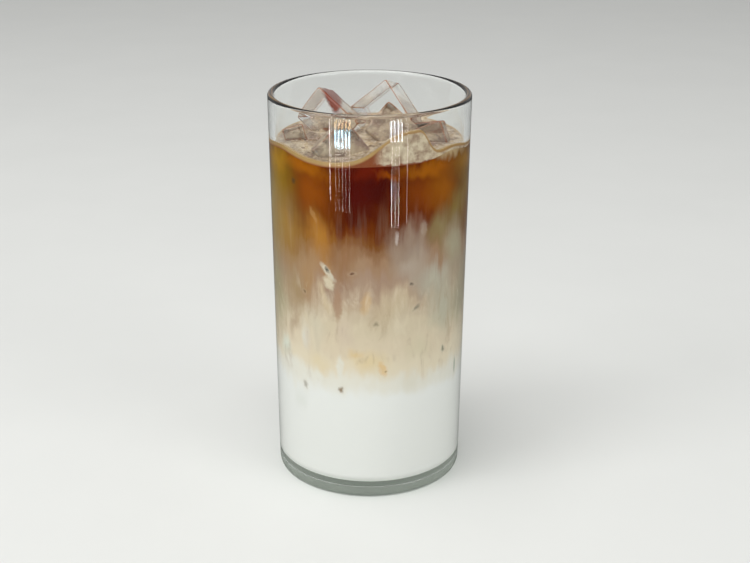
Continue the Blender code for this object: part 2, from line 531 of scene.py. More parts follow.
def grow_node(tree, kind, sockets, **settings):
    """One node of a Geometry Nodes tree. Sockets take a value or another node's output."""
    node = tree.nodes.new(kind)
    for name, value in settings.items():
        setattr(node, name, value)
    for name, value in sockets.items():
        if isinstance(value, bpy.types.NodeSocket):
            tree.links.new(value, node.inputs[name])
        else:
            node.inputs[name].default_value = value
    return node


def finish_tree(tree, geometry, material, end):
    """Ends a tree: real meshes instead of instances, with their material set."""
    realized = grow_node(tree, "GeometryNodeRealizeInstances", {"Geometry": geometry})
    sockets = {"Geometry": realized.outputs["Geometry"], "Material": material}
    painted = grow_node(tree, "GeometryNodeSetMaterial", sockets)
    tree.links.new(painted.outputs["Geometry"], end.inputs["Geometry"])


def keep_result(piece, modifier):
    """Keeps what a modifier makes of the piece as its plain mesh, and takes the modifier off."""
    bpy.context.view_layer.update()
    evaluated = piece.evaluated_get(bpy.context.evaluated_depsgraph_get())
    mesh = bpy.data.meshes.new_from_object(evaluated)
    piece.modifiers.remove(modifier)
    piece.data = mesh
    mesh.name = piece.name


def grow_mesh(piece, tree, values):
    """Runs the tree on the piece."""
    modifier = piece.modifiers.new(tree.name, "NODES")
    modifier.node_group = tree
    identifiers = {item.name: item.identifier for item in tree.interface.items_tree if item.in_out == "INPUT"}
    for label, value in values.items():
        modifier[identifiers[label]] = value
    start = piece.data
    keep_result(piece, modifier)
    bpy.data.meshes.remove(start)


def outward(mesh):
    """Merges doubled points and turns every face outwards."""
    shape = bmesh.new()
    shape.from_mesh(mesh)
    bmesh.ops.remove_doubles(shape, verts=shape.verts, dist=MERGE_DISTANCE)
    bmesh.ops.dissolve_degenerate(shape, edges=shape.edges, dist=SHORTEST_EDGE)
    bmesh.ops.recalc_face_normals(shape, faces=shape.faces)
    shape.to_mesh(mesh)
    shape.free()


def smooth(mesh, degrees):
    """Shades the mesh smooth, apart from edges sharper than the given degrees."""
    mesh.shade_smooth()
    mesh.set_sharp_from_angle(angle=math.radians(degrees))


print("helpers for Geometry Nodes ready")

# %% [markdown]
# A modelling program could lathe the outline with a Screw modifier or a Spin. Here the lathe is a short
# tree of Geometry Nodes, so the number of sides stays a setting. The outline becomes a curve, that curve is
# swept along a circle, and the two ends on the axis are merged into points. The outline lies flat and one
# circle's radius off, because a swept profile hangs from the circle it follows.

# %% Turn the glass
GLASS_SIDES = 256
SWEEP_RADIUS = 0.1
GLASS_SHARP_EDGE = 35

clear_glass = Finish("clear_glass")
outline_mesh = bpy.data.meshes.new("tumbler")
outline_mesh.from_pydata(
    [(radius - SWEEP_RADIUS, -height, 0.0) for radius, height in outline],
    [(index, index + 1) for index in range(len(outline) - 1)],
    [],
)
tumbler = add_mesh("tumbler", outline_mesh)
lathe, lathe_in, lathe_out = node_tree("lathe", {"Sides": "NodeSocketInt", "Finish": "NodeSocketMaterial"})
circle = grow_node(
    lathe,
    "GeometryNodeCurvePrimitiveCircle",
    {"Resolution": lathe_in.outputs["Sides"], "Radius": SWEEP_RADIUS},
)
profile = grow_node(lathe, "GeometryNodeMeshToCurve", {"Mesh": lathe_in.outputs["Geometry"]})
swept = grow_node(
    lathe,
    "GeometryNodeCurveToMesh",
    {"Curve": circle.outputs["Curve"], "Profile Curve": profile.outputs["Curve"]},
)
merged = grow_node(
    lathe,
    "GeometryNodeMergeByDistance",
    {"Geometry": swept.outputs["Mesh"], "Distance": MERGE_DISTANCE},
)
finish_tree(lathe, merged.outputs["Geometry"], lathe_in.outputs["Finish"], lathe_out)
grow_mesh(tumbler, lathe, {"Sides": GLASS_SIDES, "Finish": clear_glass.material})
outward(tumbler.data)
smooth(tumbler.data, GLASS_SHARP_EDGE)
low = np.array([v.co for v in tumbler.data.vertices]).min(axis=0)
high = np.array([v.co for v in tumbler.data.vertices]).max(axis=0)
print("tumbler", len(tumbler.data.polygons), "faces, from", (low / MM).round(2), "to", (high / MM).round(2))

# %% [markdown]
# Clear glass is one Principled shader with full transmission and the refraction of soda glass. A path
# tracer finds lamps badly through such a surface, so the drink behind it would look dim and noisy. The
# Light Path node mends that: rays that go to a lamp or carry diffuse light pass straight through with a
# faint tint, while the rays that the camera follows still bend and mirror.

# %% Finish of the glass
def let_lamps_through(finish, surface, tint, keep=0.0):
    """Ends a finish: lamp light passes straight through surface, apart from the share keep."""
    shadow = finish.add("ShaderNodeLightPath", {}, {}, "Is Shadow Ray")
    diffuse = finish.add("ShaderNodeLightPath", {}, {}, "Is Diffuse Ray")
    lamp_ray = finish.maths("MAXIMUM", shadow, diffuse)
    ended = finish.cover(lamp_ray * (1 - keep), surface, finish.see_through(tint))
    finish.feed(finish.output.inputs["Surface"], ended)


clear_glass.set(
    base_color=(0.972, 0.988, 0.98, 1.0),
    roughness=0.0,
    ior=1.5,
    specular_tint=(0.6, 0.6, 0.6, 1.0),
    transmission_weight=1.0,
)
let_lamps_through(clear_glass, clear_glass.surface(), (0.96, 0.985, 0.97, 1.0))
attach(tumbler, "root")
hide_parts("glass")
print("glass refracts at", clear_glass.shader.inputs["IOR"].default_value)

# %% [markdown]
# The drink is one liquid whose colour changes with height. It is still made as three closed bodies, milk,
# latte and coffee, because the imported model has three, and each can then be repainted by itself. Neighbours
# share their border points exactly, so no seam shows. Each body reaches a quarter of a millimetre into the
# glass wall. A film of air between drink and glass would otherwise turn the wall into a mirror.

# %% Bodies of the drink
DRINK_SIDES = 256
INTO_WALL = 0.25 * MM
MILK_TOP = 51 * MM
MILK_SLOPE = 5 * MM
MILK_SLOPE_HIGH_SIDE = math.radians(-60)
LATTE_TOP = 110 * MM
LATTE_DIP = 4 * MM
LATTE_RIPPLE = 1 * MM
FOOT_STEPS = 8
INNER_SHARES = (0.3, 0.55, 0.75, 0.9, 1.0)


def milk_top(angle, share):
    """The milk's upper face rises and falls round the glass, most at the wall, where the share is 1."""
    return MILK_TOP + share * MILK_SLOPE * math.cos(2 * (angle - MILK_SLOPE_HIGH_SIDE))


def latte_top(angle, share):
    """The latte's upper face dips and ripples in the same manner."""
    return LATTE_TOP - share * (LATTE_DIP * math.cos(2 * angle) - LATTE_RIPPLE * math.cos(5 * angle + 1))


def foam_bottom(angle, share):
    return calm_foam(angle, share) - FOAM_THICKNESS


def ring(radius, height):
    """Points round the axis. The angle is 0 at the front, -Y, and grows towards +X."""
    points = []
    for side in range(DRINK_SIDES):
        angle = 2 * math.pi * side / DRINK_SIDES - math.pi
        level = height(angle)
        across = radius(level)
        points.append((across * math.sin(angle), -across * math.cos(angle), level))
    return points


def to_wall(share):
    return lambda level: share * (inner_radius(level) + INTO_WALL)


def face_rings(height, shares):
    """Rings from the axis out to the wall over one face of a body."""
    return [ring(to_wall(share), lambda angle, share=share: height(angle, share)) for share in shares]


def closed_body(name, rings):
    """A closed skin over rings, from the lower middle out to the wall and back to the upper middle."""
    points = [point for loop in rings for point in loop]
    faces = []
    for low in range(len(rings) - 1):
        for side in range(DRINK_SIDES):
            after = (side + 1) % DRINK_SIDES
            start = low * DRINK_SIDES
            above = start + DRINK_SIDES
            faces.append((start + side, start + after, above + after, above + side))
    for first in (0, (len(rings) - 1) * DRINK_SIDES):
        middle = len(points)
        points.append(tuple(np.mean(points[first:first + DRINK_SIDES], axis=0)))
        faces += [(middle, first + side, first + (side + 1) % DRINK_SIDES) for side in range(DRINK_SIDES)]
    mesh = bpy.data.meshes.new(name)
    mesh.from_pydata(points, [], faces)
    outward(mesh)
    return mesh


foot = []
foot_level = FLOOR_THICKNESS - INTO_WALL
foot_wall = inner_radius(FLOOR_THICKNESS) + INTO_WALL
foot_centre = (foot_wall - CORNER_ROUND, foot_level + CORNER_ROUND)
for radius, level in arc(foot_centre, CORNER_ROUND, -90, 0, FOOT_STEPS):
    foot.append(ring(lambda _, radius=radius: radius, lambda _, level=level: level))
milk_faces = foot + face_rings(milk_top, INNER_SHARES)[::-1]
latte_faces = face_rings(milk_top, INNER_SHARES) + face_rings(latte_top, INNER_SHARES)[::-1]
coffee_faces = face_rings(latte_top, INNER_SHARES) + face_rings(foam_bottom, INNER_SHARES)[::-1]
layers = {
    "milk": closed_body("milk_body", milk_faces),
    "latte": closed_body("latte_body", latte_faces),
    "coffee": closed_body("coffee_body", coffee_faces),
}
for name, mesh in layers.items():
    print(name, len(mesh.polygons), "faces")

# %% [markdown]
# Ice from a tray starts as a block with flat faces. In the drink its edges melt round and its faces turn
# wavy. A box with a grid on its faces is rounded by a rule: each point is pulled towards an inner box and pushed
# back out by the radius of the edge. The grid lines stand closer near the edges, so the round is smooth
# where light bends most. Slow noise then moves the surface by a fraction of a millimetre.

# %% Blocks of ice
ICE_ROUND = 1.2 * MM
ICE_TAPER = 0.10
ICE_WAVE = 0.22 * MM
ICE_WAVE_SIZE = 6.0 * MM
EDGE_STEPS = 4
FLAT_STEPS = 8
# How far a square edge stands past its round, as a share of the round.
SQUARE_EDGE = 0.41
# Each block: its top corner in millimetres, its turns in degrees, its three edges in millimetres, and the
# height up to which froth clings to it.
ICE_BLOCKS = {
    "ice_back": {"top": (5.9, 17.0, 150.9), "turns": (-41, -11, -26), "edges": (19, 21, 13), "film": 133},
    "ice_left": {"top": (-19.2, 9.0, 149.8), "turns": (-54, -12, -20), "edges": (15, 21, 14), "film": 134},
    "ice_right": {"top": (25.2, -11.5, 142.5), "turns": (-24, -22, -20), "edges": (13, 17, 12), "film": 134},
    "ice_front": {"top": (-8.3, -21.2, 144.8), "turns": (-38, -14, 14), "edges": (16, 19, 17), "film": 139},
    "ice_middle": {"top": (6.9, -1.5, 147.0), "turns": (-48, -20, 4), "edges": (14, 15, 11), "film": 144},
    "ice_side": {"top": (28.4, 3.4, 138.5), "turns": (-6, -16, -6), "edges": (12, 14, 14), "film": 134},
    "ice_edge": {"top": (-24.2, -6.5, 140.0), "turns": (-14, -20, 10), "edges": (8, 13, 12), "film": 134},
}


def grid_line(half):
    """Places across one face, from -half to half, closer together where the edge is round."""
    flat = half - ICE_ROUND
    turns = [math.pi / 4 * step / EDGE_STEPS for step in range(EDGE_STEPS, 0, -1)]
    outer = [flat + ICE_ROUND * math.tan(turn) for turn in turns]
    inner = [flat - 2 * flat * step / FLAT_STEPS for step in range(FLAT_STEPS + 1)]
    return outer + inner + [-place for place in reversed(outer)]


def box_points(halves):
    """The six gridded faces of a box, as lists of rows of points."""
    lines = [grid_line(half) for half in halves]
    for axis in range(3):
        across, along = (axis + 1) % 3, (axis + 2) % 3
        for side in (-1, 1):
            rows = []
            for first in lines[across]:
                row = []
                for second in lines[along]:
                    point = [0.0, 0.0, 0.0]
                    point[axis] = side * halves[axis]
                    point[across] = first
                    point[along] = second
                    row.append(point)
                rows.append(row)
            yield rows


def melted(point, halves):
    """A point of the box, moved onto its rounded edges and corners, and 1 at an edge or 0 on a face."""
    core = Vector([max(-half + ICE_ROUND, min(half - ICE_ROUND, part)) for part, half in zip(point, halves)])
    away = Vector(point) - core
    return core + away.normalized() * ICE_ROUND, min(1.0, (away.length / ICE_ROUND - 1) / SQUARE_EDGE)


def mark(mesh, name, values):
    """Stores one number for each point, for a finish or a tree to read."""
    mesh.attributes.new(name, "FLOAT", "POINT").data.foreach_set("value", values)


def ice_place(block):
    roll, pitch, yaw = (math.radians(turn) for turn in block["turns"])
    turned = Matrix.Rotation(yaw, 4, "Z") @ Matrix.Rotation(pitch, 4, "X") @ Matrix.Rotation(roll, 4, "Y")
    return Matrix.Translation(Vector(block["top"]) * MM) @ turned


def ice_mesh(name, block, swell=0.0):
    """One melted block at its place in the drink, pushed out all over by swell."""
    left, right, depth = (edge * MM for edge in block["edges"])
    halves = (left / 2, depth / 2, right / 2)
    place = ice_place(block)
    points = []
    faces = []
    edge_shares = []
    for rows in box_points(halves):
        first = len(points)
        width = len(rows[0])
        for row in rows:
            for point in row:
                rounded, edge_share = melted(point, halves)
                edge_shares.append(edge_share)
                behind = rounded.y / depth + 0.5
                narrowing = 1 - ICE_TAPER * behind
                across = rounded.x * narrowing - left / 2
                upwards = rounded.z * narrowing - right / 2
                points.append(place @ Vector((across, behind * depth, upwards)))
        for row in range(len(rows) - 1):
            for column in range(width - 1):
                corner = first + row * width + column
                faces.append((corner, corner + 1, corner + width + 1, corner + width))
    mesh = bpy.data.meshes.new(name)
    mesh.from_pydata(points, [], faces)
    mark(mesh, "edge", edge_shares)
    outward(mesh)
    mesh.update()
    normals = [vert.normal.copy() for vert in mesh.vertices]
    for vert, normal in zip(mesh.vertices, normals):
        vert.co += normal * (swell + ICE_WAVE * noise.noise(vert.co / ICE_WAVE_SIZE))
    mesh.update()
    return mesh


ice_pieces = {}
for name, block in ICE_BLOCKS.items():
    mesh = ice_mesh(f"clear_{name}", block)
    mesh.shade_smooth()
    ice_pieces[name] = add_mesh(f"clear_{name}", mesh)
    print(name, len(mesh.polygons), "faces")

# %% [markdown]
# The froth is a thin cap. Its edge climbs and dips along the glass as a wavy line, and at the front right a
# heap of it rides up the wall. The cap is made as rings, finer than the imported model's, with small cells
# raised on its upper face. Froth and coffee are then cut round the ice with a Boolean. The cutter is the
# ice made a little smaller, so the drink reaches just into the ice, and clear ice shows the brown behind it
# instead of an air gap.

# %% Froth and the pockets for the ice
INTO_ICE = 0.2 * MM
FROTH_RINGS = 56
FROTH_RING_SPREAD = 0.75
FOAM_ROUGHNESS = 0.7 * MM
FOAM_ROUGHNESS_SCALE = 9 * MM
CELL_SIZE = 1.3 * MM
CELL_HEIGHT = 0.16 * MM
CELL_FADE = 12
DRINK_SHARP_EDGE = 40


def foam_top(angle, share):
    """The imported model's upper face of the froth, with its heap and its slow unevenness."""
    across = share * inner_radius(FOAM_TOP) / FOAM_ROUGHNESS_SCALE
    place = Vector((across * math.sin(angle), -across * math.cos(angle), 0.5))
    uneven = FOAM_ROUGHNESS * noise.noise(place) * (1 - share**4)
    return calm_foam(angle, share) + foam_lump(angle, share) + uneven


def froth_top(angle, share):
    """The same face with small cells on it, which fade out at the wall."""
    across = share * inner_radius(FOAM_TOP) / CELL_SIZE
    place = Vector((across * math.sin(angle), -across * math.cos(angle), 0.0))
    nearest = noise.voronoi(place)[0][0]
    fade = min(1.0, (1 - share) * CELL_FADE)
    return foam_top(angle, share) + CELL_HEIGHT * (0.5 - nearest) * fade


froth_shares = [(step / FROTH_RINGS) ** FROTH_RING_SPREAD for step in range(1, FROTH_RINGS + 1)]
froth_faces = face_rings(foam_bottom, INNER_SHARES) + face_rings(froth_top, froth_shares)[::-1]
froth_mesh = closed_body("froth_cap", froth_faces)


def cut_round_ice(piece, margin):
    """Takes the ice, made smaller by margin, out of a piece."""
    cutters = bpy.data.collections.new("cutters")
    bpy.context.scene.collection.children.link(cutters)
    for name, block in ICE_BLOCKS.items():
        cutter = bpy.data.objects.new(f"{name}_cutter", ice_mesh(f"{name}_cutter", block, -margin))
        cutters.objects.link(cutter)
    modifier = piece.modifiers.new("pockets", "BOOLEAN")
    modifier.operation = "DIFFERENCE"
    modifier.operand_type = "COLLECTION"
    modifier.collection = cutters
    modifier.solver = "EXACT"
    keep_result(piece, modifier)
    for cutter in list(cutters.objects):
        bpy.data.objects.remove(cutter)
    bpy.data.collections.remove(cutters)


froth = add_mesh("froth_cap", froth_mesh)
bodies = {name: add_mesh(f"{name}_body", mesh) for name, mesh in layers.items()}
cut_round_ice(froth, INTO_ICE)
cut_round_ice(bodies["coffee"], INTO_ICE)
for piece in (froth, *bodies.values()):
    smooth(piece.data, DRINK_SHARP_EDGE)
    print(piece.name, len(piece.data.polygons), "faces")

# %% [markdown]
# Coffee poured over milk mixes slowly. From the milk up it passes through cream and beige clouds, a pinkish
# brown with upright streaks where it sinks in threads, and a clear dark brown. The finish is built in that
# order. A ramp over the height gives the layers, and a list of soft patches lays the clouds, plumes and
# pockets on the wall, rolled out flat. Small dark specks float between them. Some patches are painted
# light: amber, golden and olive ones at the sides and bright bands just under the froth stand in for light
# shining through thin coffee, and green-grey ones at the edges are painted shade with a painted greenish
# reflection. A small pale wisp is a painted highlight.

# %% Colours of the drink
BAND_LOW = 40.0
BAND_HIGH = 135.0
LAYER_COLOURS = {
    41: rgb(237, 236, 233),
    48: rgb(232, 227, 216),
    54: rgb(228, 214, 190),
    62: rgb(220, 203, 178),
    70: rgb(212, 196, 170),
    75: rgb(202, 184, 160),
    79: rgb(190, 167, 143),
    83: rgb(174, 148, 126),
    88: rgb(160, 132, 112),
    95: rgb(152, 119, 92),
    100: rgb(132, 94, 64),
    104: rgb(112, 64, 24),
    108: rgb(94, 38, 2),
    113: rgb(72, 16, 0),
    122: rgb(56, 4, 0),
    131: rgb(70, 10, 0),
}
# Each patch: its place as degrees round from the front and millimetres up, its half width in degrees and half
# height in millimetres, its lean in degrees, its colour and its strength. Later ones lie on earlier ones.
PATCHES = [
    # Painted light: the amber side on the left, the bright band at the upper left and the golden band at the
    # left edge stand in for light that shines through the thin coffee at the side and just under the froth.
    ("amber side on the left", -64, 121, 30, 16, 0, (134, 98, 0), 0.95),
    ("amber bay on the left", -34, 121, 24, 15, 8, (128, 62, 0), 0.95),
    ("bright band at the upper left", -42, 129.5, 28, 5, -4, (152, 86, 0), 0.85),
    ("golden band at the left edge", -68, 130, 24, 9, 0, (158, 114, 6), 0.9),
    ("amber side on the right", 31, 120, 25, 15, 0, (114, 50, 0), 0.95),
    ("golden side on the right", 48, 121, 21, 17, 0, (140, 78, 0), 0.9),
    # Painted light: the olive rim and the golden band at the right edge stand in for light that shines through
    # the thin coffee at the side, and their olive tint is partly a painted greenish reflection.
    ("olive rim on the right", 74, 117, 25, 22, 0, (122, 87, 12), 0.95),
    ("golden band at the right edge", 72, 129, 26, 8, 0, (144, 100, 18), 0.85),
    ("brown tongue", 13, 110, 15, 9, 0, (88, 36, 0), 0.85),
    ("dark pocket", -5, 121, 18, 12, -8, (66, 5, 0), 1.0),
    ("red glow over the pocket", -2, 128, 15, 4.5, -6, (98, 20, 0), 0.7),
    # Painted light: the bright band under the heap and the orange tongue under the froth stand in for light that
    # shines through the coffee just under the froth.
    ("bright band under the heap", 36, 129.5, 30, 4.5, 0, (150, 84, 2), 0.85),
    ("orange tongue under the froth", 12, 127, 13, 2.2, -9, (140, 66, 0), 0.75),
    ("froth clinging under the heap", 54, 133.4, 20, 3.2, 0, (180, 156, 116), 0.9),
    ("dark roots on the left", -27, 113, 12, 6, 20, (100, 46, 0), 0.7),
    ("brown on the lower left", -58, 104, 28, 20, 0, (150, 112, 52), 0.9),
    # Painted light: the olive edge on the left stands in for light that shines through the thin coffee at the
    # side, with a painted greenish reflection.
    ("olive edge on the left", -80, 108, 26, 26, 0, (156, 132, 76), 0.9),
    ("tan streak", -31, 103, 14, 17, 12, (162, 108, 42), 0.92),
    ("pale edge of the streak", -34, 112, 2, 4, 24, (176, 136, 84), 0.35),
    ("haze on the right", 28, 101.5, 18, 12, 0, (148, 130, 116), 0.85),
    ("olive veil on the right", 60, 112, 16, 11, 0, (128, 106, 54), 0.85),
    ("olive haze on the right", 46, 105, 13, 12, 0, (134, 118, 80), 0.85),
    ("pale haze at the right edge", 60, 97, 15, 17, 0, (166, 159, 134), 0.85),
    ("lilac haze on the right", 25, 93, 19, 10, 0, (172, 158, 144), 0.75),
    ("milky haze on the right", 42, 86, 24, 9, 0, (182, 178, 162), 0.75),
    ("haze in the middle right", 16, 101, 11, 12, 0, (150, 130, 114), 0.8),
    ("rosy middle", -14, 96, 11, 13, 0, (138, 98, 66), 0.8),
    # Painted highlight: the pale wisp is a small painted highlight in the column of the right window's mirrored
    # threads.
    ("pale wisp", 16, 104.5, 1.4, 3.4, 0, (204, 192, 184), 0.5),
    ("pale spot", 33, 107, 3, 4, 0, (168, 152, 136), 0.4),
    # Painted shade and reflection: the green-grey left edge darkens the side of the drink and tints it as a
    # greenish reflection would.
    ("green-grey left edge", -72, 79, 20, 28, 0, (156, 145, 110), 0.85),
    ("brown cloud on the left", -50, 83, 17, 16, 0, (162, 136, 100), 0.85),
    ("rosy gap on the left", -38, 88, 11, 12, 0, (164, 126, 84), 0.8),
    ("plume", -27, 81, 5, 11, 6, (204, 182, 150), 0.85),
    ("foot of the plume", -35, 68, 9, 14, 14, (212, 200, 178), 0.85),
    ("arrowhead", -25.0, 91, 2.6, 5.4, 38, (202, 190, 170), 0.9),
    ("base of the arrowhead", -24.5, 87, 4.1, 3.6, 30, (212, 198, 172), 0.85),
    ("rosy streak", -19, 79, 3.5, 9, 0, (164, 128, 102), 0.7),
    ("beige cloud", 12, 77, 24, 9, 14, (204, 186, 156), 0.7),
    ("orange thread in the cloud", -2, 80, 4, 6, -10, (206, 166, 116), 0.5),
    ("rosy cloud", -14, 68, 10, 8, 0, (208, 188, 170), 0.6),
    ("rosy gap lower on the left", -52, 67, 5, 10, 0, (180, 156, 132), 0.75),
    ("white lobe on the left", -62, 56, 9, 8, 0, (222, 226, 214), 0.8),
    ("white lobe beside it", -43, 64, 5, 9, 14, (222, 216, 206), 0.8),
    ("yellow cloud on the left", -32, 55, 9, 7, 0, (226, 208, 174), 0.85),
    ("yellow cloud in the middle", 0, 57, 15, 7, 0, (226, 204, 162), 0.85),
    ("yellow cloud on the right", 30, 60, 13, 7, 0, (216, 204, 176), 0.7),
    ("white gap between the clouds", -18, 54, 3, 6, 0, (230, 226, 216), 0.8),
    ("orange spot", 8, 54, 3.5, 4, 20, (224, 186, 130), 0.7),
    ("second orange spot", -9, 60, 5, 4, -20, (222, 192, 140), 0.7),
    ("grey-green haze", 50, 75, 17, 17, 0, (182, 180, 162), 0.75),
    # Painted shade and reflection: the green-grey edge darkens the right side of the drink and tints it as a
    # greenish reflection would.
    ("green-grey edge", 72, 76, 20, 26, 0, (164, 157, 134), 0.85),
    ("last cream", 25, 48, 12, 6, 0, (226, 220, 206), 0.8),
    ("grey shade on the milk", -46, 38, 10, 7, 0, (226, 226, 220), 0.6),
]
# Each speck: its place as in a patch, its half width and half height in millimetres, its lean and its colour.
SPECKS = [
    (-49, 123, 1.4, 1.9, 20, (70, 52, 30)),
    (-25.5, 92, 0.9, 1.9, 30, (50, 48, 46)),
    (-10, 91.5, 1.2, 0.8, 0, (84, 44, 30)),
    (-42, 81.5, 0.9, 1.0, 0, (112, 92, 66)),
    (25.5, 86.5, 1.1, 1.0, 0, (96, 84, 74)),
    (4, 72, 1.3, 1.3, 30, (150, 138, 116)),
    (29, 77, 1.0, 2.6, -50, (140, 132, 116)),
    (51, 57, 1.2, 2.0, 0, (120, 122, 104)),
    (66, 47, 0.9, 5.0, 0, (150, 162, 144)),
    (-17.5, 45, 1.4, 1.8, 20, (132, 104, 74)),
    (-43, 44, 1.3, 2.6, 20, (176, 168, 158)),
    (10, 53, 0.6, 0.6, 0, (168, 138, 96)),
]
print("drink of", len(LAYER_COLOURS), "layer colours,", len(PATCHES), "patches and", len(SPECKS), "specks")

# %% [markdown]
# The wall is rolled out flat: one coordinate goes round it, the other up. The rear repeats the front in
# mirror image, turned and lifted a little, and the noise that bends it is solid, so the two don't look
# alike. A patch is a soft oval on that flat wall. Large patches lie on a field that is bent and drawn out
# as liquid flows, and small ones on a field that is only nudged, so they keep their shape.

# %% Patches on the wall
ROLL_RADIUS = 33.0
DEGREE = math.radians(1) * ROLL_RADIUS
REAR_TURN = 0.5
REAR_LIFT = 8.0
CRISP_BELOW = 4.5
CRISP_MIDDLE = 0.4
PATCH_REACH = 8


def parts_of(finish, vector):
    return [finish.add("ShaderNodeSeparateXYZ", {}, {0: vector}, part) for part in "XYZ"]


def patch(finish, flat, centre, halves, lean, solid):
    """A soft-edged oval on the flat wall: 1 in its middle, up to the share solid, and 0 outside."""
    sockets = {
        "Vector": flat,
        "Location": (*centre, 0.0),
        "Rotation": (0.0, 0.0, math.radians(lean)),
        "Scale": (*halves, 1.0),
    }
    local = finish.add("ShaderNodeMapping", {"vector_type": "TEXTURE"}, sockets)
    away = finish.add("ShaderNodeVectorMath", {"operation": "LENGTH"}, {0: local}, "Value")
    return away.step(1.0, solid)


def with_patches(finish, colour, bent, nudged, lowest, highest):
    """The colour with every patch that reaches between two heights laid on it."""
    for _, turn, height, half_turn, half_height, lean, tone, strength in PATCHES:
        if height + half_height > lowest - PATCH_REACH and height - half_height < highest + PATCH_REACH:
            centre = (turn * DEGREE, height)
            halves = (half_turn * DEGREE, half_height)
            field, solid = (nudged, CRISP_MIDDLE) if half_turn < CRISP_BELOW else (bent, 0.0)
            mask = patch(finish, field, centre, halves, lean, solid)
            colour = finish.mix(mask * strength, colour, rgb(*tone))
    return colour


def with_specks(finish, colour, nudged, in_front, z, lowest, highest):
    """The colour with its dark specks, each in a faint pale halo. They show on the front only."""
    halo_share = in_front * z.step(116.0, 100.0) * 0.12
    for turn, height, half_width, half_height, lean, tone in SPECKS:
        if lowest < height < highest:
            centre = (turn * DEGREE, height)
            halo = patch(finish, nudged, centre, (half_width * 2.2, half_height * 1.8), lean, 0.2)
            dark = patch(finish, nudged, centre, (half_width, half_height), lean, 0.1)
            colour = finish.mix(halo * halo_share, colour, rgb(222, 210, 188))
            colour = finish.mix(dark * in_front * 0.85, colour, rgb(*tone))
    return colour


print("patches with half widths under", CRISP_BELOW, "degrees stay crisp")

# %% [markdown]
# The three bodies share one finish, built once for each with only the patches that it needs, so their
# borders don't show. Fine upright streaks shift the layers up and down and brighten them, as threads of
# sinking coffee do. The pockets round the ice are a plain brown, which clear ice shows through itself. The
# underside of the milk has a faint painted glow, an emission that stands in for light that the milk carries
# through itself, because little light reaches it through the thick base.

# %% Finish of the drink
DRAWN_OUT = (1.0, 1.0, 0.35)
THREAD_SIZE = 2.4
THREAD_STRETCH = (1, 1, 0.07)
BROAD_THREAD_SIZE = 7.0
BROAD_THREAD_STRETCH = (1, 1, 0.12)
THREAD_LIFT = 14.0
PATCH_THREAD_SHARE = 0.7
SWIRL_SIZE = 16.0
SWIRL_REACH = (9.0, 11.0, 0.0)
CURL_SIZE = 3.2
CURL_REACH = (4.0, 7.0, 0.0)
NUDGE_SIZE = 1.2
NUDGE_REACH = (1.4, 1.4, 0.0)
POCKET_COLOUR = rgb(118, 76, 52)
# A painted glow on the milk's underside, standing in for light that the milk carries through itself.
PAINTED_MILK_GLOW = (0.075, 0.085, 0.075, 1.0)


